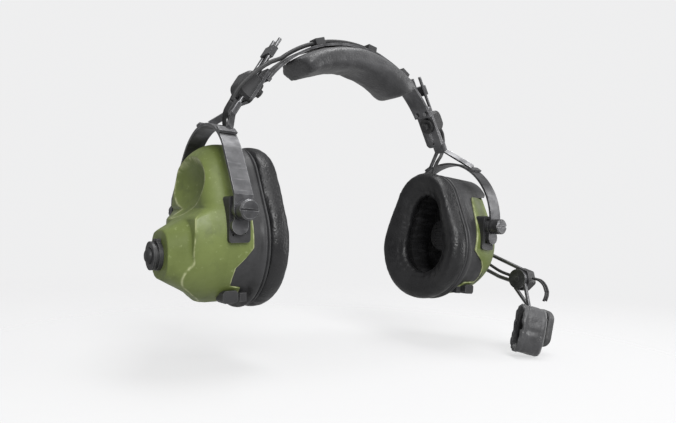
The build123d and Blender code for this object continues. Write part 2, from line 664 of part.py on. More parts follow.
def rounded_slab(x0, x1, y_mid, z_mid, wide, tall, edge):
    """Slab with round corners across X and softened edges."""
    slab = Plane.YZ.offset(x0) * Pos(y_mid, z_mid) * RectangleRounded(wide, tall, min(wide, tall) / 2 - 0.6)
    slab = extrude(slab, amount=x1 - x0)
    return chamfer(slab.faces().filter_by(Axis.X).edges(), edge)


MUFF_Y, MUFF_Z = -12.0, -15.5


def mic_body():
    """Slim case behind the muff."""
    case = rounded_slab(3.2, 10.2, MUFF_Y + 2.5, MUFF_Z + 3.5, 16.0, 29.0, 0.9)
    case += box(-0.9, 3.6, MUFF_Y - 4, MUFF_Y + 4, MUFF_Z - 6, MUFF_Z + 6)
    return MIC * (case - box(-2.8, 2.8, -6.4, 6.4, -9.2, 4))


def mic_muff():
    """Oval foam cup with an opening that faces the mouth."""
    cup = rounded_slab(-22.0, -1.0, MUFF_Y, MUFF_Z, 20.0, 38.0, 1.6)
    cup -= rounded_slab(-24.0, -8.0, MUFF_Y, MUFF_Z, 13.0, 30.0, 0.5)
    return MIC * (cup - box(-3.4, 3.4, -6.4, 6.4, -9.4, 6))


# ---- cables ------------------------------------------------------------------------------
def cable_drop_points(side):
    """Last stretch of the crossover cable, from the stirrup hub past the yoke into the dome."""
    if side == "right":
        return [(105.0, -12.4, 79.0), (107.2, -9.6, 73.5), (106.2, -5.5, 68.0), (103.2, -2.0, 61.5),
                (102.0, 0.5, 54.5), (101.5, 1.5, 47.5)]
    return [(113.5, 10.5, 77.0), (109.8, 8.6, 71.5), (105.0, 8.0, 66.0), (101.5, 8.0, 60.5),
            (98.8, 7.5, 54.0), (97.5, 6.5, 47.0)]


def cable_slack_points(side):
    """Stretch that crosses the slide, from the band to the stirrup hub."""
    if side == "right":
        return [arch(TOP_CABLE_R, 42.0, CLIP_Y), arch(101.2, 49.3, -9.2), (85.5, -14.0, 104.5),
                (95.5, -14.8, 95.5), (102.6, -14.2, 86.5), cable_drop_points(side)[0]]
    return [arch(TOP_CABLE_R, 36.0, CLIP_Y), arch(TOP_CABLE_R + 0.2, 44.0, 0.5), arch(101.0, 52.0, 9.5),
            (92.0, 12.8, 104.0), (104.5, 13.0, 101.0), (113.5, 12.0, 93.5), (115.0, 11.6, 84.5),
            cable_drop_points(side)[0]]


def grommet_frame(side):
    """The last run of the drop, as a start point and an end point."""
    return cable_drop_points(side)[-2:]


def cable_grommet(side):
    """Rubber sleeve where the cable enters the dome."""
    p, q = grommet_frame(side)
    sleeve = rod(along(p, q, 3.0), along(p, q, 8.0), 3.1)
    return sleeve - rod(along(p, q, -2), along(p, q, 14), CABLE_R + 0.3)


def grommet_bore(side):
    """Hole for the grommet, in the cup frame."""
    p, q = grommet_frame(side)
    return CUP.inverse() * rod(along(p, q, -4), along(p, q, 14), 3.15)


# ---- write everything --------------------------------------------------------------------
save("headband_spring", headband_spring())
save("headpad", headpad())
save("cable_clips", cable_clips())
save("band_rivets", band_rivets())
save("crossover_cable", top_cable_solid(CABLE_R))

for side, sections, dome in (("left", DOME_LEFT, dome_left), ("right", DOME_RIGHT, dome_right)):
    bore = grommet_bore(side)
    shapes = {
        "clamp_inner": clamp_inner(side),
        "clamp_outer": clamp_outer(side),
        "thumb_screw": thumb_screw(),
        "slide_rods": slide_rods(),
        "rod_keeper": rod_keeper(),
        "stirrup_legs": stirrup_legs(side),
        "leg_clips": leg_clips(side),
        "yoke": yoke(side),
        "pivot_screws": pivot_screws(),
        "track_sliders": track_sliders(),
        "track_plates": track_plates(sections),
        "dome_shell": dome(bore),
        "skirt": skirt(sections, bore),
        "cushion": cushion(),
        "foam_liner": foam_liner(),
        "earphone": earphone(),
        "cable_grommet": cable_grommet(side),
        "bottom_clips": bottom_clips(sections),
        "cable_slack": cable(cable_slack_points(side), CABLE_R),
        "cable_drop": cable(cable_drop_points(side), CABLE_R),
    }
    for name, shape in shapes.items():
        save(side + "_" + name, place(side, shape))

for name, make in (("knob_bezel", knob_bezel), ("volume_knob", volume_knob), ("push_button", ptt_button)):
    save(name, place("right", make()))

for name, make in (("boom_swivel_base", boom_swivel_base), ("boom_swivel", boom_swivel),
                   ("boom_rods", boom_rods), ("boom_block", boom_block), ("elbow_screw", elbow_screw),
                   ("mic_arm", mic_arm), ("mic_bracket", mic_bracket), ("mic_body", mic_body),
                   ("mic_muff", mic_muff)):
    save(name, make())

LEAD_START = (ROD_U, -14.6, -19.4)
LEAD_END = (ROD_U, -39.4, -28.0)
lead = cable([cup_point(*LEAD_START), cup_point(ROD_U + 0.3, -27.0, -25.2), cup_point(*LEAD_END)], 1.3)
save("mic_lead_boom", lead)

MID_LEAD = (148.0, -75.0, -42.5)
upper, lower = [], []
for shift in (-1.6, 1.6):
    block_exit = cup_point(ROD_U + shift, BLOCK_Y - 10.2, BLOCK_Z + 1.5)
    middle = (MID_LEAD[0] + shift, MID_LEAD[1], MID_LEAD[2])
    upper.append(cable([block_exit, (149.0 + shift, -68.5, -33.5), (148.5 + shift, -73.0, -37.5), middle],
                       LEAD_R))
    lower.append(cable([middle, (146.8 + shift, -75.6, -45.5), (145.4 + shift, -74.8, -48.4)], LEAD_R))
save("mic_lead_upper", group(*upper))
save("mic_lead_lower", group(*lower))

print(len(NODES), "nodes")
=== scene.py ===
import json
import math

import bmesh
import bpy
import numpy as np
from mathutils import Matrix, Vector


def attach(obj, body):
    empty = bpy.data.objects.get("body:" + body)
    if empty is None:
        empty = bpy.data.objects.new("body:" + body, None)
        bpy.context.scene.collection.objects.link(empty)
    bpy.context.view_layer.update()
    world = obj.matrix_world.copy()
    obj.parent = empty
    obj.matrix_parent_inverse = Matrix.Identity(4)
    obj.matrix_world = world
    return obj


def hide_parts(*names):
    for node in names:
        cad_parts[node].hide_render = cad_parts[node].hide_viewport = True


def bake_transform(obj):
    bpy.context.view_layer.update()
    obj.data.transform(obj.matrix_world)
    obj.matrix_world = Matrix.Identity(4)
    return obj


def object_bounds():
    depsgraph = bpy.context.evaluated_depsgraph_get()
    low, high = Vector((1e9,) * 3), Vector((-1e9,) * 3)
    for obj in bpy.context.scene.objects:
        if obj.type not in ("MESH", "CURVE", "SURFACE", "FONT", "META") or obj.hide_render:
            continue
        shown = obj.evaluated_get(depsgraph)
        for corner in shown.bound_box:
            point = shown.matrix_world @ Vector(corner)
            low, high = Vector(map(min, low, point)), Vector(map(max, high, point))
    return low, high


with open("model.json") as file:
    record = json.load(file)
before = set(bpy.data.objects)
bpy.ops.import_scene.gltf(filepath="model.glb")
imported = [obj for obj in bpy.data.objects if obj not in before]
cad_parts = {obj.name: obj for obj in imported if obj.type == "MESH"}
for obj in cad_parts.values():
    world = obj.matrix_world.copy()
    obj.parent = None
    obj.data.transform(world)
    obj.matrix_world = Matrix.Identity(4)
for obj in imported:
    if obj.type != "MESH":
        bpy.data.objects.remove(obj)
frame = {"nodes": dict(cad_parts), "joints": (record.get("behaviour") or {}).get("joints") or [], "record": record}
CAD_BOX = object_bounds()
MM = 0.001
SCENE = bpy.context.scene
SCENE.view_settings.view_transform = "Standard"
SIDES = ("left", "right")
MOUNTS = {m["name"]: m for m in frame["record"]["mounts"]}
SLOTS = {s["node"]: s["material_slot"] for s in frame["record"]["subparts"]}


# ---- camera, light and floor ---------------------------------------------------------------
CAMERA_AT = (-0.2566, -0.34016, -0.00428)
CAMERA_ANGLES = (36.14, 2.51, 2.35)  # turn towards +X, pitch up and roll, in degrees
CAMERA_LENS = 29.87                  # mm, with a sensor 36 mm wide
STUDIO_WHITE = (0.86, 0.86, 0.865, 1)
BACKDROP_LEVELS = {"To Min": 0.42, "To Max": 1.0}  # strength as a light, and as the camera sees it
FLOOR_RADIUS = 1.2
FLOOR_GAP = 0.001                    # below the lowest point of the object at rest
FLOOR_FADE = {"From Min": 0.18, "From Max": 0.75, "To Min": 0.30, "To Max": 0.0}


def make_camera():
    """Camera in front of the knob side, at the height of the cups."""
    turn, pitch, roll = (math.radians(angle) for angle in CAMERA_ANGLES)
    ahead = Vector((math.sin(turn) * math.cos(pitch), math.cos(turn) * math.cos(pitch), math.sin(pitch)))
    right = Vector((math.cos(turn), -math.sin(turn), 0.0))
    up = right.cross(ahead)
    right, up = (math.cos(roll) * right + math.sin(roll) * up, math.cos(roll) * up - math.sin(roll) * right)
    data = bpy.data.cameras.new("camera")
    data.sensor_width = 36.0
    data.lens = CAMERA_LENS
    data.clip_start = 0.01
    cam = bpy.data.objects.new("camera", data)
    SCENE.collection.objects.link(cam)
    place = Matrix((right, up, -ahead)).transposed().to_4x4()
    place.translation = Vector(CAMERA_AT)
    cam.matrix_world = place
    SCENE.camera = cam


def area_light(name, at, to, size, watts):
    """Soft rectangular lamp at one point, facing another."""
    data = bpy.data.lights.new(name, "AREA")
    data.shape = "RECTANGLE"
    data.size, data.size_y = size
    data.energy = watts
    lamp = bpy.data.objects.new(name, data)
    SCENE.collection.objects.link(lamp)
    lamp.location = at
    lamp.rotation_euler = (Vector(to) - Vector(at)).to_track_quat("-Z", "Y").to_euler()


def make_floor():
    """Pale disc under the object that fades out into the backdrop."""
    floor = bpy.data.objects.new("floor", bpy.data.meshes.new("floor"))
    mesh = bmesh.new()
    bmesh.ops.create_circle(mesh, cap_ends=True, segments=96, radius=FLOOR_RADIUS)
    mesh.to_mesh(floor.data)
    mesh.free()
    floor.location = (0, 0, CAD_BOX[0].z - FLOOR_GAP)
    SCENE.collection.objects.link(floor)
    mat = bpy.data.materials.new("floor")
    mat.use_nodes = True
    nodes, links = mat.node_tree.nodes, mat.node_tree.links
    shader = nodes["Principled BSDF"]
    shader.inputs["Base Color"].default_value = STUDIO_WHITE
    shader.inputs["Roughness"].default_value = 0.9
    coords = nodes.new("ShaderNodeTexCoord")
    length = nodes.new("ShaderNodeVectorMath")
    length.operation = "LENGTH"
    links.new(coords.outputs["Object"], length.inputs[0])
    fade = nodes.new("ShaderNodeMapRange")
    fade.interpolation_type = "SMOOTHSTEP"
    for key, number in FLOOR_FADE.items():
        fade.inputs[key].default_value = number
    links.new(length.outputs["Value"], fade.inputs["Value"])
    links.new(fade.outputs["Result"], shader.inputs["Alpha"])
    floor.data.materials.append(mat)


def make_backdrop():
    """Plain pale background, dimmer as a light on the object than as the camera sees it."""
    world = bpy.data.worlds.new("studio")
    SCENE.world = world
    world.use_nodes = True
    nodes, links = world.node_tree.nodes, world.node_tree.links
    backdrop = nodes["Background"]
    backdrop.inputs["Color"].default_value = STUDIO_WHITE
    seen = nodes.new("ShaderNodeLightPath")
    level = nodes.new("ShaderNodeMapRange")
    for key, number in BACKDROP_LEVELS.items():
        level.inputs[key].default_value = number
    links.new(seen.outputs["Is Camera Ray"], level.inputs["Value"])
    links.new(level.outputs["Result"], backdrop.inputs["Strength"])


make_camera()
make_backdrop()
area_light("key", (-0.35, -1.3, 0.75), (0, 0, 0.02), (0.8, 0.8), 20)
area_light("top", (0.25, -0.1, 1.5), (0, 0, 0.05), (1.0, 0.7), 14)
area_light("rim", (1.2, -0.5, 0.3), (0, 0, 0.02), (0.6, 1.0), 6)
make_floor()


# ---- materials -----------------------------------------------------------------------------
# an object's looks are worked out from its own coordinates, and lengths here are in metres
PLASTIC_EDGE = 0.0006                # how far worn edges reach
METAL_EDGE = 0.0005


class Nodes:
    """Short-hand for building one node material."""

    def __init__(self, name):
        self.mat = bpy.data.materials.new(name)
        self.mat.use_nodes = True
        self.tree = self.mat.node_tree
        self.shader = self.tree.nodes["Principled BSDF"]
        self.coords = self.tree.nodes.new("ShaderNodeTexCoord").outputs["Object"]

    def add(self, kind, **inputs):
        """New node with some of its inputs set or linked."""
        node = self.tree.nodes.new(kind)
        for key, value in inputs.items():
            self.put(node.inputs[key.replace("_", " ")], value)
        return node

    def put(self, socket, value):
        """Set a socket to a value, or link it to another socket."""
        if isinstance(value, bpy.types.NodeSocket):
            self.tree.links.new(value, socket)
        elif isinstance(value, tuple) and len(value) == 3 and socket.type == "RGBA":
            socket.default_value = (*value, 1.0)
        else:
            socket.default_value = value

    def noise(self, scale, detail, stretch=None, rough=0.6):
        """Noise from 0 to 1 over the object, stretched along its axes when asked."""
        source = self.coords
        if stretch:
            source = self.add("ShaderNodeMapping", Vector=source, Scale=stretch).outputs[0]
        return self.add("ShaderNodeTexNoise", Vector=source, Scale=scale, Detail=detail,
                        Roughness=rough).outputs["Fac"]

    def ramp(self, value, low, high, to_low=0.0, to_high=1.0):
        """Smooth step from to_low, where value is low, to to_high, where it is high."""
        node = self.tree.nodes.new("ShaderNodeMapRange")
        node.interpolation_type = "SMOOTHSTEP"
        self.put(node.inputs["Value"], value)
        for key, number in (("From Min", low), ("From Max", high), ("To Min", to_low), ("To Max", to_high)):
            node.inputs[key].default_value = number
        return node.outputs["Result"]

    def maths(self, operation, a, b):
        """ADD or MULTIPLY two values and keep the result between 0 and 1."""
        node = self.tree.nodes.new("ShaderNodeMath")
        node.operation = operation
        node.use_clamp = True
        self.put(node.inputs[0], a)
        self.put(node.inputs[1], b)
        return node.outputs[0]

    def weighted(self, a, share_a, b, share_b):
        """Sum of two values, each times its share."""
        return self.maths("ADD", self.maths("MULTIPLY", a, share_a), self.maths("MULTIPLY", b, share_b))

    def mix(self, factor, a, b):
        """Colour between a and b; a mix node has its pair of colours at inputs 6 and 7."""
        node = self.tree.nodes.new("ShaderNodeMix")
        node.data_type = "RGBA"
        self.put(node.inputs[0], factor)
        self.put(node.inputs[6], a)
        self.put(node.inputs[7], b)
        return node.outputs[2]

    def edges(self, radius):
        """Mask of the edges: where a rounded normal leaves the true one."""
        soft = self.add("ShaderNodeBevel", Radius=radius)
        soft.samples = 4
        true = self.tree.nodes.new("ShaderNodeNewGeometry").outputs["Normal"]
        dot = self.tree.nodes.new("ShaderNodeVectorMath")
        dot.operation = "DOT_PRODUCT"
        self.put(dot.inputs[0], soft.outputs[0])
        self.put(dot.inputs[1], true)
        return self.ramp(dot.outputs["Value"], 0.985, 0.90)

    def attribute(self, name):
        """Value that the mesh carries on its points."""
        node = self.tree.nodes.new("ShaderNodeAttribute")
        node.attribute_name = name
        return node.outputs["Fac"]


def finish_look(n, colour, rough, height, strength, distance, metal=0.0, sheen=0.0):
    """Give the shader its colour, roughness and bump from height, and return the material."""
    n.put(n.shader.inputs["Base Color"], colour)
    n.put(n.shader.inputs["Roughness"], rough)
    n.put(n.shader.inputs["Metallic"], metal)
    if sheen:
        n.put(n.shader.inputs["Sheen Weight"], sheen)
    bump = n.add("ShaderNodeBump", Strength=strength, Distance=distance, Height=height)
    n.put(n.shader.inputs["Normal"], bump.outputs[0])
    return n.mat


def plastic_look(name, dark, light, wear_and_highlight, rough=0.5, edge=0.7):
    """Matt moulded plastic with scuffs, dust and worn edges."""
    n = Nodes(name)
    cloud = n.ramp(n.noise(45, 5), 0.35, 0.68)
    fine = n.noise(900, 3)
    colour = n.mix(cloud, dark, light)
    colour = n.mix(n.ramp(fine, 0.62, 0.78, 0.0, 0.35), colour, wear_and_highlight)
    scratch = n.ramp(n.noise(55, 6, (1, 9, 30), 0.75), 0.66, 0.76, 0.0, 0.5)
    colour = n.mix(scratch, colour, wear_and_highlight)
    patch = n.ramp(n.noise(160, 4), 0.38, 0.62, 0.25, 1.0)
    wear_and_highlight_mask = n.maths("MULTIPLY", n.maths("MULTIPLY", n.edges(PLASTIC_EDGE), patch), edge)
    colour = n.mix(wear_and_highlight_mask, colour, wear_and_highlight)
    roughness = n.maths("ADD", n.ramp(n.noise(120, 4), 0.3, 0.7, rough - 0.08, rough + 0.1), scratch)
    height = n.weighted(fine, 0.5, n.noise(220, 5), 0.5)
    return finish_look(n, colour, roughness, height, 0.35, 0.00025)


def shell_look(name):
    """Green shell: mottled paint, fine scratches, and paler edges and creases, part chipped paint and part painted
    highlight.
    """
    n = Nodes(name)
    cloud = n.ramp(n.noise(28, 6), 0.3, 0.7)
    colour = n.mix(cloud, (0.118, 0.150, 0.036), (0.170, 0.212, 0.058))
    spots = n.ramp(n.noise(420, 5), 0.60, 0.75, 0.0, 0.55)
    colour = n.mix(spots, colour, (0.30, 0.35, 0.15))
    grime = n.ramp(n.noise(75, 6), 0.56, 0.74, 0.0, 0.55)
    colour = n.mix(grime, colour, (0.085, 0.105, 0.035))
    scratch = n.ramp(n.noise(38, 7, (1, 3, 22), 0.8), 0.64, 0.72, 0.0, 0.6)
    colour = n.mix(scratch, colour, (0.36, 0.40, 0.20))
    # paler paint along the shell's edges and creases, from the values stored on its points: part chipped paint,
    # part painted highlight where the ridges catch the light
    patch = n.ramp(n.noise(190, 6), 0.36, 0.60, 0.1, 1.0)
    wear_and_highlight_mask = n.maths("MULTIPLY", n.maths("MULTIPLY", n.attribute("edge_wear_and_highlight"), patch), 0.95)
    colour = n.mix(wear_and_highlight_mask, colour, (0.47, 0.50, 0.27))
    roughness = n.ramp(n.noise(90, 5), 0.3, 0.7, 0.40, 0.62)
    height = n.weighted(n.noise(650, 3), 0.5, n.noise(150, 5), 0.5)
    return finish_look(n, colour, roughness, height, 0.35, 0.0003)


def metal_look(name, dark, light, wear_and_highlight, rough):
    """Coated steel: fine brush marks, darker blotches, bright bare edges."""
    n = Nodes(name)
    cloud = n.ramp(n.noise(60, 6), 0.32, 0.70)
    brush = n.noise(70, 5, (1, 14, 2))
    colour = n.mix(cloud, dark, light)
    colour = n.mix(n.ramp(brush, 0.55, 0.80, 0.0, 0.25), colour, wear_and_highlight)
    patch = n.ramp(n.noise(240, 5), 0.35, 0.60, 0.2, 1.0)
    wear_and_highlight_mask = n.maths("MULTIPLY", n.maths("MULTIPLY", n.edges(METAL_EDGE), patch), 0.9)
    colour = n.mix(wear_and_highlight_mask, colour, wear_and_highlight)
    roughness = n.ramp(n.noise(140, 5), 0.3, 0.7, rough - 0.1, rough + 0.12)
    height = n.weighted(brush, 0.5, n.noise(800, 3), 0.5)
    return finish_look(n, colour, roughness, height, 0.25, 0.0002, 0.85)


def leather_look(name, dark, light, rough, scale=520.0, sheen=0.15, strength=0.55):
    """Grained artificial leather with soft rub marks and fine wrinkles."""
    n = Nodes(name)
    cells = n.add("ShaderNodeTexVoronoi", Vector=n.coords, Scale=scale)
    grain = n.ramp(cells.outputs["Distance"], 0.0, 0.6)
    cloud = n.ramp(n.noise(40, 5), 0.35, 0.68)
    colour = n.mix(cloud, dark, light)
    rubbed = tuple(min(1, 2.2 * c) for c in light)
    colour = n.mix(n.ramp(n.noise(700, 3), 0.60, 0.80, 0.0, 0.4), colour, rubbed)
    wrinkle = n.noise(60, 6, (1.0, 2.4, 1.0), 0.7)
    roughness = n.ramp(n.noise(110, 4), 0.3, 0.7, rough - 0.07, rough + 0.12)
    height = n.weighted(grain, 0.35, wrinkle, 0.65)
    return finish_look(n, colour, roughness, height, strength, 0.0007, 0.0, sheen)


def foam_look(name, dark, light):
    """Open foam: pores and streaks."""
    n = Nodes(name)
    pores = n.add("ShaderNodeTexVoronoi", Vector=n.coords, Scale=900.0).outputs["Distance"]
    streaks = n.ramp(n.noise(40, 6, (1, 1, 6), 0.75), 0.45, 0.70)
    colour = n.mix(streaks, dark, light)
    roughness = n.ramp(n.noise(200, 3), 0.3, 0.7, 0.8, 0.95)
    height = n.weighted(pores, 0.6, streaks, 0.4)
    return finish_look(n, colour, roughness, height, 0.8, 0.0008)


LOOKS = {  # one for each material slot, and the microphone muff's own
    "green shell": shell_look("green_shell"),
    "black plastic": plastic_look("black_plastic", (0.020, 0.020, 0.021), (0.040, 0.040, 0.042),
                                  (0.15, 0.15, 0.15)),
    "dark metal": metal_look("dark_metal", (0.080, 0.080, 0.084), (0.16, 0.16, 0.165),
                             (0.50, 0.50, 0.51), 0.40),
    "bare steel": metal_look("bare_steel", (0.13, 0.13, 0.135), (0.24, 0.24, 0.245),
                             (0.55, 0.55, 0.56), 0.36),
    "rubber": plastic_look("rubber", (0.016, 0.016, 0.017), (0.030, 0.030, 0.031),
                           (0.10, 0.10, 0.10), 0.55, 0.4),
    "black leather": leather_look("black_leather", (0.007, 0.007, 0.008), (0.015, 0.015, 0.016), 0.42,
                                  sheen=0.0),
    "pad leather": leather_look("pad_leather", (0.040, 0.040, 0.042), (0.070, 0.070, 0.073), 0.42),
    "foam": foam_look("foam", (0.008, 0.008, 0.009), (0.045, 0.045, 0.048)),
    "mic foam": leather_look("mic_foam", (0.030, 0.030, 0.032), (0.065, 0.065, 0.068), 0.38,
                             700.0, 0.3, 0.5),
}


# ---- building pieces -----------------------------------------------------------------------
def closed_rows(rows, columns, caps=()):
    """Quads between rows of a grid that closes round its columns; caps are rows to close with one face."""
    faces = []
    for i in range(rows - 1):
        for j in range(columns):
            k = (j + 1) % columns
            faces.append((i * columns + j, i * columns + k, (i + 1) * columns + k, (i + 1) * columns + j))
    for row in caps:
        faces.append(tuple(row * columns + j for j in range(columns)))
    return faces


def set_look(obj, look):
    """Give a piece one look, in place of any other."""
    obj.data.materials.clear()
    obj.data.materials.append(LOOKS[look])


def make_piece(name, points, faces, slot):
    """Mesh piece in the row frame from points in metres, with the look of its material slot."""
    mesh = bpy.data.meshes.new(name)
    mesh.from_pydata(np.asarray(points).tolist(), [], faces)
    made = bmesh.new()
    made.from_mesh(mesh)
    bmesh.ops.recalc_face_normals(made, faces=made.faces)
    made.to_mesh(mesh)
    made.free()
    mesh.polygons.foreach_set("use_smooth", [True] * len(mesh.polygons))
    obj = bpy.data.objects.new(name, mesh)
    SCENE.collection.objects.link(obj)
    set_look(obj, slot)
    return obj


def put_attribute(obj, name, values):
    """Store a value on every point of a piece, for its look."""
    layer = obj.data.attributes.new(name, "FLOAT", "POINT")
    layer.data.foreach_set("value", np.asarray(values, np.float32))


def cup_axes(side):
    """Origin and axes of a cup: outward from the cushion's face, back, up."""
    seal = MOUNTS[side + "_ear_seal"]
    out = -np.array(seal["axis"], float)
    up = np.cross(out, (0, 1, 0)) * np.sign(out[0])
    return np.array(seal["pos_m"], float) + 0.038 * up, np.array([out, (0, 1, 0), up])


def cup_to_row(side, points):
    """Row-frame points, in metres, from cup points in mm."""
    origin, axes = cup_axes(side)
    return origin + MM * (points @ axes)


# eggs across a cup: radius and height of the top circle, then of the low circle, in mm
CUSHION_EGG = (30.0, 23.0, 43.7, -9.3)
DOME_EGG = (30.2, 23.5, 43.0, -5.0)
HOLE_EGG = (16.0, 17.0, 22.0, -9.0)


def egg_distance(shape, y, z):
    """Signed distance to an egg made of an upper and a lower circle."""
    r_top, z_top, r_low, z_low = shape
    h = z_top - z_low
    b = (r_low - r_top) / h
    a = math.sqrt(1 - b * b)
    y, z = np.abs(y), z - z_low
    k = a * z - b * y
    side = a * y + b * z - r_low
    return np.where(k < 0, np.hypot(y, z) - r_low, np.where(k > a * h, np.hypot(y, z - h) - r_top, side))


def egg_outline(shape, grow, turn):
    """Points (y, z) of an egg's outline, grown outward, in the directions turn about its middle."""
    y, z = np.sin(turn), np.cos(turn)
    low, high = np.zeros_like(turn), np.full_like(turn, 90.0)
    for _ in range(34):
        middle = (low + high) / 2
        inside = egg_distance(shape, y * middle, z * middle) < grow
        low, high = np.where(inside, middle, low), np.where(inside, high, middle)
    return np.stack((y * low, z * low), -1)


def smooth_max(a, b, k):
    """The larger of two distances, with the crease between them rounded over k."""
    return np.maximum(a, b) + np.maximum(k - np.abs(a - b), 0) ** 2 / (4 * k)


RIMS = {  # heights on each cup, and how far out its green shell's edge lies at them, in mm
    "left": ((-60, -46, -41, -36.8, -36, -31, -23, -18, -10, 8, 30, 34.5, 36.0, 39, 60),
             (25, 25.5, 29, 31, 42.5, 43, 40, 36, 25.5, 28, 32.5, 34, 49, 52, 52)),
    "right": ((-60, -46, -42, -37, -35.5, -30, -24, -18, -12, 8, 30, 36, 44, 60),
              (22.5, 22.5, 28.5, 29, 36.5, 37, 36.5, 31, 26.5, 27.5, 28.5, 29, 30, 30)),
}
LEFT_FACE = 74.0                 # how far out the left dome's outer face lies
SNOUT_FACE = 74.0                # and the flat round the knob, on the right dome
KNOB_AT = (-14.5, -15.5)         # y and z of the knob's axis
SCOOP_AT = (70, -1, 28.5)        # middle of the oval scoop, as (u, y, z), and its half sizes
SCOOP_SIZE = (26.5, 34.5, 23.5)


def rim_at(side, z):
    """How far out the green shell's edge lies at a height."""
    return np.interp(z, *RIMS[side])


def left_dome(u, y, z):
    """The boom side's dome is one rounded surface; none of its creases is lightened with wear and painted
    highlight.
    """
    start, depth, power = 34.0, 40.6, 2.1
    x = np.clip((u - start) / depth, 0, 0.9999)
    shrink = 43.0 * (1 - (1 - x ** power) ** (1 / power))
    return smooth_max(egg_distance(DOME_EGG, y, z) + shrink, u - LEFT_FACE, 1.1), np.zeros_like(u)


def right_dome(u, y, z):
    """Side wall, sloping top with the knob's snout, and the oval scoop; also how much its creases are lightened,
    part as wear and part as painted highlight.
    """
    wall = egg_distance(DOME_EGG, y, z)
    side = wall + np.interp(u, (18, 42, 53, 64), (0, 0.5, 2.0, 4.2))
    # how far out the top lies at each height, a little less towards the back
    heights = (-50, -46, -41, -30, -14, 7, 11.5, 36, 46, 60)
    tops = (43, 47.5, 53, 59, 62.4, 61.3, 54.0, 53, 49, 40)
    far = np.interp(z, (8, 14), (0.28, 0.05)) * np.maximum(y - 2, 0)
    crease = sum(np.interp(z + d, heights, tops) for d in (-2, 0, 2)) / 3 + 0.05 * np.maximum(-wall, 0) - far
    # the snout round the knob is a rounded square cone with a flat end
    dy, dz = np.abs(y - KNOB_AT[0]), np.abs(z - KNOB_AT[1])
    r = (dy ** 2.7 + dz ** 2.7) ** (1 / 2.7)
    cone = np.interp(r, (0, 19, 22, 25.5, 31, 45), (99.25, 66, 60.5, 55, 45.5, 30))
    top = smooth_max(crease, np.minimum(cone, SNOUT_FACE), 2.0)
    # above it the top falls along a ramp to a shelf, and an ellipsoid scoops out the upper half
    ramp = np.maximum(74.5 - 1.64 * (z + 1.5), 53.0)
    top = -smooth_max(-top, -ramp + far, 1.0)
    cap = (u - top) * 0.8
    body = smooth_max(side, cap, np.interp(z, (5, 14), (1.1, 10.0)))
    parts = zip((u, y, z), SCOOP_AT, SCOOP_SIZE)
    q = np.sqrt(sum(((place - middle) / size) ** 2 for place, middle, size in parts))
    scoop = (1 - q) * 25
    # paler line along the crease between side wall and top, and along the scoop's rim: part worn paint, part
    # painted highlight of the lit ridge
    wear_and_highlight = np.exp(-((side - cap) / 0.4) ** 2) * np.interp(z, (4, 9), (1, 0))
    wear_and_highlight = np.maximum(wear_and_highlight, np.exp(-((body - scoop) / 0.45) ** 2))
    return smooth_max(body, scoop, 1.0), wear_and_highlight


def dome_points(side, shape, centre, pole, columns, rows):
    """Grid on a dome, from the shell's edge to the pole, and how much each of its points is lightened, part as
    wear and part as painted highlight.
    """
    centre = np.array(centre, float)
    turn = np.linspace(0, 2 * math.pi, columns, endpoint=False)
    edge = egg_outline(DOME_EGG, -0.2, turn)
    start = np.column_stack((rim_at(side, edge[:, 1]) + 0.4, edge)) - centre
    start /= np.linalg.norm(start, axis=1)[:, None]
    end = np.array(pole, float) - centre
    end /= np.linalg.norm(end)
    angle = np.arccos(np.clip(start @ end, -1, 1))
    t = np.linspace(0, 1, rows)[:, None]
    a = np.sin((1 - t) * angle) / np.sin(angle)
    b = np.sin(t * angle) / np.sin(angle)
    ray = a[..., None] * start[None] + b[..., None] * end

    def distance(length):
        p = centre + ray * length[..., None]
        return shape(p[..., 0], p[..., 1], p[..., 2])

    # step out along each ray to the first point outside the shape, then halve that step
    low = np.full(ray.shape[:2], 4.0)
    done = np.zeros(ray.shape[:2], bool)
    for step in np.arange(5.0, 80.0, 1.0):
        outside = distance(np.full_like(low, step))[0] > 0
        low = np.where(~done & ~outside, step, low)
        done |= outside
    high = low + 1.0
    for _ in range(16):
        middle = (low + high) / 2
        outside = distance(middle)[0] > 0
        low, high = np.where(outside, low, middle), np.where(outside, middle, high)
    points = centre + ray * low[..., None]
    # the shell's edge is lightened too: part worn paint, part painted highlight of the lit edge
    wear_and_highlight = np.maximum(distance(low)[1], np.exp(-(np.arange(rows)[:, None] / 1.3) ** 2) * 0.85)
    return points, wear_and_highlight


def make_dome(side, shape, centre, pole):
    """Green shell of a cup, with a lip turned in along its edge."""
    columns, rows = 560, 170
    points, wear_and_highlight = dome_points(side, shape, centre, pole, columns, rows)
    first = points[0]
    inward = first[:, 1:] / np.linalg.norm(first[:, 1:], axis=1)[:, None]
    lip = []  # each row lies inside the shell's edge by depth, and shift further out
    for depth, shift in ((2.2, -0.4), (0.5, -0.45), (0.12, -0.3)):
        row = first.copy()
        row[:, 1:] -= inward * depth
        row[:, 0] += shift
        lip.append(row)
    points = np.concatenate((np.array(lip), points))
    wear_and_highlight = np.concatenate((np.repeat(wear_and_highlight[:1], len(lip), axis=0), wear_and_highlight))
    faces = closed_rows(rows + len(lip), columns)
    obj = make_piece(side + "_shell", cup_to_row(side, points.reshape(-1, 3)), faces, "green shell")
    # store on the points how much they are lightened, as wear and painted highlight, for the shell's look
    put_attribute(obj, "edge_wear_and_highlight", wear_and_highlight.reshape(-1))
    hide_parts(side + "_dome_shell")
    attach(obj, side + "_cup")


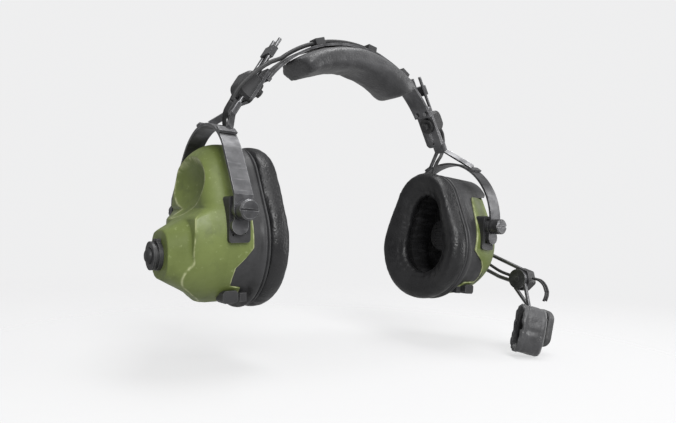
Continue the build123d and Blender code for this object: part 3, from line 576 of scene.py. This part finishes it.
def make_skirt(side):
    """Black carrier: a ridge between two grooves, then the recessed skirt that runs under the shell."""
    columns = 420
    turn = np.linspace(0, 2 * math.pi, columns, endpoint=False)
    # distance out from the cushion's face, and growth of the cushion's outline there
    profile = [(14.6, -9.0), (14.9, -2.6), (15.1, -1.5), (15.6, -1.0), (16.2, -0.9), (16.7, -1.3),
               (16.9, -2.6), (17.6, -2.7), (17.8, -1.2), (18.3, -0.5), (19.2, -0.3)]
    rows = []
    for u, grow in profile:
        rows.append(np.column_stack((np.full(columns, u), egg_outline(CUSHION_EGG, grow, turn))))
    edge = egg_outline(DOME_EGG, -1.0, turn)
    reach = rim_at(side, edge[:, 1]) + 2.5
    blend = egg_outline(CUSHION_EGG, -0.6, turn)
    for share in np.linspace(0.0, 1.0, 16):
        towards = min(1.0, share * 5)
        u = 20.6 + (reach - 20.6) * share
        rows.append(np.column_stack((u, (1 - towards) * blend + towards * edge)))
    points = np.concatenate(rows)
    faces = closed_rows(len(rows), columns)
    obj = make_piece(side + "_carrier", cup_to_row(side, points), faces, "black plastic")
    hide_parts(side + "_skirt")
    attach(obj, side + "_cup")


make_dome("left", left_dome, (38.0, 0.0, -3.0), (LEFT_FACE, 0.0, -13.0))
make_dome("right", right_dome, (26.0, 0.0, 14.0), (73.0, -14.0, -16.0))
for side in SIDES:
    make_skirt(side)


# ---- soft parts ----------------------------------------------------------------------------
CLOTH_FRAMES = 18


def puff(obj, voxel, pressure, pinned, reach):
    """Blow a closed cover up as cloth; the points that pinned picks stay, and none moves past reach."""
    remesh = obj.modifiers.new("remesh", "REMESH")
    remesh.mode = "VOXEL"
    remesh.voxel_size = voxel
    apply_modifiers(obj)
    rest = np.array([v.co for v in obj.data.vertices])
    group = obj.vertex_groups.new(name="held")
    held = [int(i) for i in np.nonzero(pinned(rest))[0]]
    group.add(held, 1.0, "REPLACE")
    cloth = obj.modifiers.new("cloth", "CLOTH")
    cloth.settings.quality = 5
    cloth.settings.mass = 0.25
    cloth.settings.tension_stiffness = 30
    cloth.settings.compression_stiffness = 12
    cloth.settings.bending_stiffness = 0.6
    cloth.settings.use_pressure = True
    cloth.settings.uniform_pressure_force = pressure
    cloth.settings.vertex_group_mass = "held"
    cloth.settings.effector_weights.gravity = 0
    cloth.collision_settings.use_collision = False
    cloth.point_cache.frame_start = 1
    cloth.point_cache.frame_end = CLOTH_FRAMES
    for number in range(1, CLOTH_FRAMES + 1):
        SCENE.frame_set(number)
    apply_modifiers(obj)
    moved = np.array([v.co for v in obj.data.vertices]) - rest
    length = np.maximum(np.linalg.norm(moved, axis=1), 1e-9)[:, None]
    moved *= np.minimum(1.0, reach / length)
    obj.data.vertices.foreach_set("co", (rest + moved).reshape(-1))
    smooth = obj.modifiers.new("smooth", "SUBSURF")
    smooth.levels = smooth.render_levels = 1
    apply_modifiers(obj)
    SCENE.frame_set(1)
    obj.data.polygons.foreach_set("use_smooth", [True] * len(obj.data.polygons))
    obj.vertex_groups.clear()


def apply_modifiers(obj):
    """Bake an object's modifiers into its mesh."""
    bpy.context.view_layer.update()
    shown = obj.evaluated_get(bpy.context.evaluated_depsgraph_get())
    mesh = bpy.data.meshes.new_from_object(shown)
    obj.modifiers.clear()
    obj.data = mesh


def shape_vertices(obj, change):
    """Move an object's points by a function of their positions in metres."""
    co = np.zeros(len(obj.data.vertices) * 3)
    obj.data.vertices.foreach_get("co", co)
    obj.data.vertices.foreach_set("co", change(co.reshape(-1, 3)).reshape(-1))
    obj.data.update()


def waves(p, seed, count, low, high):
    """Smooth pseudo-random field: a sum of plane waves with wavelengths between low and high."""
    rng = np.random.default_rng(seed)
    total = np.zeros(len(p))
    for _ in range(count):
        direction = rng.normal(size=3)
        direction /= np.linalg.norm(direction)
        total += np.sin(p @ direction * 2 * math.pi / rng.uniform(low, high) + rng.uniform(0, 6.28))
    return total / math.sqrt(count)


def make_cushion(side):
    """Ear seal: a stuffed ring whose face slopes like a bowl to the ear opening."""
    columns = 220
    turn = np.linspace(0, 2 * math.pi, columns, endpoint=False)
    outer, inner = egg_outline(CUSHION_EGG, 0.0, turn), egg_outline(HOLE_EGG, -0.6, turn)
    # across the ring: share of the way from its outer to its inner outline, and height off its face
    profile = [(0.10, 15.4), (0.035, 15.0), (0.005, 13.6), (-0.01, 10.5), (-0.005, 7.0), (0.03, 3.8),
               (0.09, 1.5), (0.17, 0.35), (0.26, 0.15), (0.36, 0.9), (0.48, 2.3), (0.62, 4.0), (0.76, 5.6),
               (0.88, 7.2), (0.96, 9.0), (1.0, 11.2), (0.97, 13.4), (0.90, 15.0), (0.80, 15.4)]
    rows = [np.column_stack((np.full(columns, u), (1 - w) * outer + w * inner)) for w, u in profile]
    points = np.concatenate(rows)
    faces = closed_rows(len(rows), columns)
    last = (len(rows) - 1) * columns
    faces += [(last + j, last + (j + 1) % columns, (j + 1) % columns, j) for j in range(columns)]
    obj = make_piece(side + "_ear_seal", cup_to_row(side, points), faces, "black leather")
    origin, axes = cup_axes(side)

    def cup_u(co):
        """How far out from the cushion's face each point is, in mm."""
        return (co - origin) @ axes[0] / MM
    puff(obj, 0.0032, 4.0, lambda co: cup_u(co) > 13.6, 0.0016)

    def creases(co):
        """A fold round the ear opening, ripples across it and dents in the face."""
        u = cup_u(co)
        y, z = co[:, 1] / MM, (co - origin) @ axes[2] / MM
        depth = -egg_distance(HOLE_EGG, y, z)
        spin = np.arctan2(y, z)
        normal_out = np.outer(np.ones(len(co)), axes[0])
        fold = np.exp(-((depth + 3.5 + 1.0 * np.sin(3 * spin + 0.6)) / 1.6) ** 2) * 0.5 * (u < 9)
        ripple = np.exp(-((depth + 3) / 7) ** 2) * 0.35 * np.sin(26 * spin + 2 * np.sin(5 * spin))
        dent = waves(co / MM, 11 if side == "left" else 12, 14, 14, 40) * 0.22 * np.clip((6 - u) / 3, 0, 1)
        return co + MM * (fold + ripple * (u < 11) + dent)[:, None] * normal_out
    shape_vertices(obj, creases)
    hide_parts(side + "_cushion")
    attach(obj, side + "_cup")


ARCH_Z = 45.0        # height of the head arch's centre, in mm


def arch_to_row(radius, turn, y):
    """Row-frame point in metres on the head arch; turn in degrees from the top."""
    a = np.radians(turn)
    return MM * np.stack((radius * np.sin(a), y + 0 * a, ARCH_Z + radius * np.cos(a)), -1)


def make_headpad():
    """Leather sleeve round foam under the band: rolls front and back, puckered ends."""
    # section from the top round the back, as distance back and radius from the arch's centre
    back = [(0, 92.6), (7.5, 92.6), (10.0, 91.9), (13.0, 91.2), (16.5, 90.0), (19.3, 87.8), (20.6, 84.6),
            (20.2, 81.6), (18.2, 79.4), (15.0, 78.2), (9.0, 77.4), (0, 77.0)]
    section = np.array(back + [(-y, r) for y, r in reversed(back[1:-1])])
    rows = []
    middle = np.array((0.0, 85.4))
    # angle along the arch in degrees, and size of the section there
    stations = [(-38.0, 0.55), (-38.4, 0.86), (-38.0, 0.97)]
    stations += [(turn, 1.0) for turn in np.linspace(-36.8, 34.0, 60)]
    stations += [(35.6, 0.985), (36.9, 0.94), (37.8, 0.85), (38.4, 0.70), (38.5, 0.45)]
    for turn, size in stations:
        # the underside is fuller towards the boom side, and both ends are cut back below
        share = (turn + 38) / 76
        grown = (section - middle) * size
        fat = 1.0 + 0.05 * np.exp(-((share - 0.93) / 0.08) ** 2)
        fat -= 0.05 * np.exp(-((share - 0.07) / 0.1) ** 2)
        fat = np.where(grown[:, 1] < 0, fat + 0.5 * np.clip((share - 0.3) / 0.6, 0, 1), fat)
        grown = middle + grown * np.column_stack((np.ones(len(grown)), fat))
        lean = 0.33 * share ** 6 - 0.16 * (1 - share) ** 6
        rows.append(arch_to_row(grown[:, 1], turn + lean * (grown[:, 1] - 91.0), grown[:, 0]))
    points = np.concatenate(rows)
    faces = closed_rows(len(rows), len(section), (0, len(rows) - 1))
    obj = make_piece("head_pad", points, faces, "pad leather")

    def held(co):
        """The strip of the pad that lies against the band."""
        radius = np.hypot(co[:, 0], co[:, 2] - ARCH_Z * MM) / MM
        return (radius > 91.4) & (np.abs(co[:, 1]) < 0.010)
    puff(obj, 0.0042, 4.0, held, 0.0018)

    def creases(co):
        """The seam along each roll, puckers at the ends and soft folds."""
        x, z = co[:, 0] / MM, co[:, 2] / MM - ARCH_Z
        radius, turn, y = np.hypot(x, z), np.degrees(np.arctan2(x, z)), co[:, 1] / MM
        out = np.column_stack((x / radius, np.zeros(len(co)), z / radius))
        side = np.sign(y)[:, None] * np.array((0.0, 1.0, 0.0))
        seam = np.exp(-((radius - (83.6 + 0.02 * turn)) / 1.0) ** 2) * (np.abs(y) > 14)
        pinch = np.exp(-((np.abs(turn) - 36.0) / 1.5) ** 2) * np.sin(y * 1.1 + radius * 0.9)
        soft = waves(np.column_stack((x, y, z)), 21, 16, 12, 45)
        folds = np.exp(-((radius - 79) / 3.5) ** 2) * np.sin(turn * 0.8 + 2 * np.sin(y * 0.2)) * 0.18
        sideways = side * (-1.1 * seam + 0.25 * soft)[:, None]
        return co + MM * (sideways + out * (0.3 * pinch + 0.22 * soft + folds)[:, None])
    shape_vertices(obj, creases)
    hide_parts("headpad")
    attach(obj, "headband")


MIC_TILT = 15.0                             # degrees, the microphone's top leans away from the head
MUFF_SWING = -32.0                          # the muff's mouth is turned back towards the wearer's lips
MUFF_PIVOT = np.array((-10.0, -12.0, 0.0))  # point that it turns about, in the microphone's frame, mm
MUFF_SHIFT = np.array((-3.0, -1.0, -2.0))
MUFF_CENTRE = np.array((0.0, -12.0, -15.5))
MUFF_WIDE, MUFF_TALL = 19.6, 37.6


def mic_frame():
    """Origin and axes of the microphone: the muff's depth, back and height directions."""
    joint = next(j for j in frame["joints"] if j["name"] == "mic_tilt")
    tilt = math.radians(MIC_TILT)
    axes = np.array(((math.cos(tilt), 0, -math.sin(tilt)), (0, 1, 0), (math.sin(tilt), 0, math.cos(tilt))))
    return np.array(joint["pos_m"], float), axes


def oval(wide, tall, count, power=2.6):
    """Rounded outline (y, z)."""
    t = np.linspace(0, 2 * math.pi, count, endpoint=False)
    c, s = np.cos(t), np.sin(t)
    return np.column_stack((wide / 2 * np.sign(s) * np.abs(s) ** (2 / power),
                            tall / 2 * np.sign(c) * np.abs(c) ** (2 / power)))


def make_muff():
    """Soft oval cup round the microphone with a thick rolled lip and a few folds in its wall."""
    count = 96
    # depth from the back, and size: up the outside, round the lip and down the inside
    profile = [(-1.0, 0.55), (-1.1, 0.86), (-2.2, 0.97), (-5.0, 0.985), (-9.0, 0.96), (-14.0, 0.965),
               (-18.0, 0.985), (-20.3, 0.98), (-21.4, 0.93), (-21.7, 0.86), (-21.2, 0.79), (-19.6, 0.74),
               (-15.0, 0.70), (-10.0, 0.68), (-8.4, 0.60), (-8.0, 0.30)]
    rows = []
    for x, size in profile:
        edge = oval(MUFF_WIDE * size, MUFF_TALL - MUFF_WIDE * (1 - size), count)
        rows.append(np.column_stack((np.full(count, x), edge)) + MUFF_CENTRE)
    origin, axes = mic_frame()
    c, s = math.cos(math.radians(MUFF_SWING)), math.sin(math.radians(MUFF_SWING))
    turned = np.array(((c, s, 0), (-s, c, 0), (0, 0, 1)))
    points = (np.concatenate(rows) - MUFF_PIVOT) @ turned + MUFF_PIVOT + MUFF_SHIFT
    points = origin + MM * (points @ axes)
    obj = make_piece("mic_foam_cup", points, closed_rows(len(rows), count, (0, len(rows) - 1)), "rubber")

    def flat(co):
        """Back to the muff's own straight frame."""
        return ((co - origin) @ axes.T / MM - MUFF_PIVOT - MUFF_SHIFT) @ turned.T + MUFF_PIVOT
    puff(obj, 0.0021, 2.5, lambda co: flat(co)[:, 0] > -3.0, 0.0008)

    def folds(co):
        """Grooves round the lip and the foot, and pleats in the wall between them."""
        x, y, z = (flat(co) - MUFF_CENTRE).T
        outward = np.column_stack((np.zeros(len(co)), y, z))
        outward /= np.maximum(np.linalg.norm(outward, axis=1), 1e-6)[:, None]
        ring = -0.7 * np.exp(-((x + 16.2) / 0.9) ** 2) - 0.35 * np.exp(-((x + 5.5) / 1.0) ** 2)
        pleat = 0.35 * np.sin(np.arctan2(y, z) * 9 + 1) * np.exp(-((x + 11) / 4) ** 2)
        move = outward * (ring + pleat + 0.15 * waves(co / MM, 31, 10, 6, 18))[:, None]
        return co + MM * (move @ turned @ axes)
    shape_vertices(obj, folds)
    set_look(obj, "mic foam")
    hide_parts("mic_muff")
    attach(obj, "microphone")


for side in SIDES:
    make_cushion(side)
make_headpad()
make_muff()


# ---- cables that cross a joint -------------------------------------------------------------
def rounded_path(points, spacing=1.2):
    """Points along a route whose corners are rounded, in mm."""
    points = [np.array(p, float) for p in points]
    path = [points[0]]
    for a, b, c in zip(points, points[1:], points[2:]):
        reach = 0.48 * min(np.linalg.norm(b - a), np.linalg.norm(c - b))
        start = b + (a - b) / np.linalg.norm(a - b) * reach
        end = b + (c - b) / np.linalg.norm(c - b) * reach
        for t in np.linspace(0, 1, 9):
            path.append((1 - t) ** 2 * start + 2 * t * (1 - t) * b + t * t * end)
    path.append(points[-1])
    path = np.array(path)
    steps = np.concatenate(([0], np.cumsum(np.linalg.norm(np.diff(path, axis=0), axis=1))))
    count = max(6, int(steps[-1] / spacing))
    wanted = np.linspace(0, steps[-1], count)
    return np.column_stack([np.interp(wanted, steps, path[:, k]) for k in range(3)])


CORD_SIDES = 12
CORD_R = 1.5
LEAD_R = 0.9


def make_cable(name, points, radius, node, phase):
    """Round tube along a route that bends between two bodies."""
    path = rounded_path(points)
    ahead = np.gradient(path, axis=0)
    ahead /= np.linalg.norm(ahead, axis=1)[:, None]
    side = np.cross(ahead[0], (0.2, 0.9, 0.4))
    rings, around = [], np.linspace(0, 2 * math.pi, CORD_SIDES, endpoint=False)
    for k, (p, d) in enumerate(zip(path, ahead)):
        side = side - d * (side @ d)
        side /= np.linalg.norm(side)
        other = np.cross(d, side)
        r = radius * (1 + 0.03 * math.sin(k * 0.9 + phase))
        rings.append(p + r * (np.cos(around)[:, None] * side + np.sin(around)[:, None] * other))
    points = MM * np.concatenate(rings)
    obj = make_piece(name, points, closed_rows(len(path), CORD_SIDES, (0, len(path) - 1)), "rubber")
    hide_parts(node)
    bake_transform(obj)


def arch_mm(radius, turn, y):
    """Point on the head arch, in mm."""
    return tuple(arch_to_row(radius, float(turn), y) / MM)


def cup_mm(u, y, z):
    """Row-frame point in mm from a point of the boom side's cup."""
    return tuple(cup_to_row("left", np.array((u, y, z))) / MM)


# routes of the crossover cable on each side; x counts outward, so the right side's is turned round below
DROPS = {
    "right": [(105.0, -12.4, 79.0), (107.2, -9.6, 73.5), (106.2, -5.5, 68.0), (103.2, -2.0, 61.5),
              (102.0, 0.5, 54.5), (101.5, 1.5, 47.5)],
    "left": [(113.5, 10.5, 77.0), (109.8, 8.6, 71.5), (105.0, 8.0, 66.0), (101.5, 8.0, 60.5),
             (98.8, 7.5, 54.0), (97.5, 6.5, 47.0)],
}
SLACKS = {
    "right": [arch_mm(97.3, 41.7, -3.0), arch_mm(101.2, 49.3, -9.2), (85.5, -14.0, 104.5),
              (95.5, -14.8, 95.5), (102.6, -14.2, 86.5), DROPS["right"][0]],
    "left": [arch_mm(97.3, 35.7, -3.0), arch_mm(97.5, 44.0, 0.5), arch_mm(101.0, 52.0, 9.5),
             (92.0, 12.8, 104.0), (104.5, 13.0, 101.0), (113.5, 12.0, 93.5), (115.0, 11.6, 84.5),
             DROPS["left"][0]],
}
for side, sign in (("left", 1), ("right", -1)):
    for kind, points, bodies, phase in (("slack", SLACKS[side], ("headband", side + "_yoke"), 1),
                                        ("drop", DROPS[side], (side + "_yoke", side + "_slider"), 2)):
        route = [(sign * x, y, z) for x, y, z in points]
        make_cable(side + "_cord_" + kind, route, CORD_R, side + "_cable_" + kind, phase)

# the microphone's two leads, side by side, in an upper and a lower stretch that meet beside the mic arm
LEAD_MIDDLE = (148.0, -75.0, -42.5)
for number, shift in ((1, -1.6), (2, 1.6)):
    exit_point = cup_mm(78.0 + shift, -61.2, -28.5)
    middle = (LEAD_MIDDLE[0] + shift, *LEAD_MIDDLE[1:])
    upper = [exit_point, (149.0 + shift, -68.5, -33.5), (148.5 + shift, -73.0, -37.5), middle]
    lower = [middle, (146.8 + shift, -75.6, -45.5), (145.4 + shift, -74.8, -49.5)]
    make_cable("mic_cord_upper_%d" % number, upper, LEAD_R, "mic_lead_upper", 3)
    make_cable("mic_cord_lower_%d" % number, lower, LEAD_R, "mic_lead_lower", 4)


# ---- carried-over CAD nodes ----------------------------------------------------------------
EDGE_WIDTH = 0.3 * MM
EDGE_ANGLE = 32       # degrees


def dress_cad():
    """Look and softened edges for every CAD node that no detailed piece replaces."""
    for name, obj in frame["nodes"].items():
        if obj.hide_render:
            continue
        set_look(obj, SLOTS[name])
        bevel = obj.modifiers.new("soft_edges", "BEVEL")
        bevel.width = EDGE_WIDTH
        bevel.segments = 2
        bevel.limit_method = "ANGLE"
        bevel.angle_limit = math.radians(EDGE_ANGLE)


dress_cad()
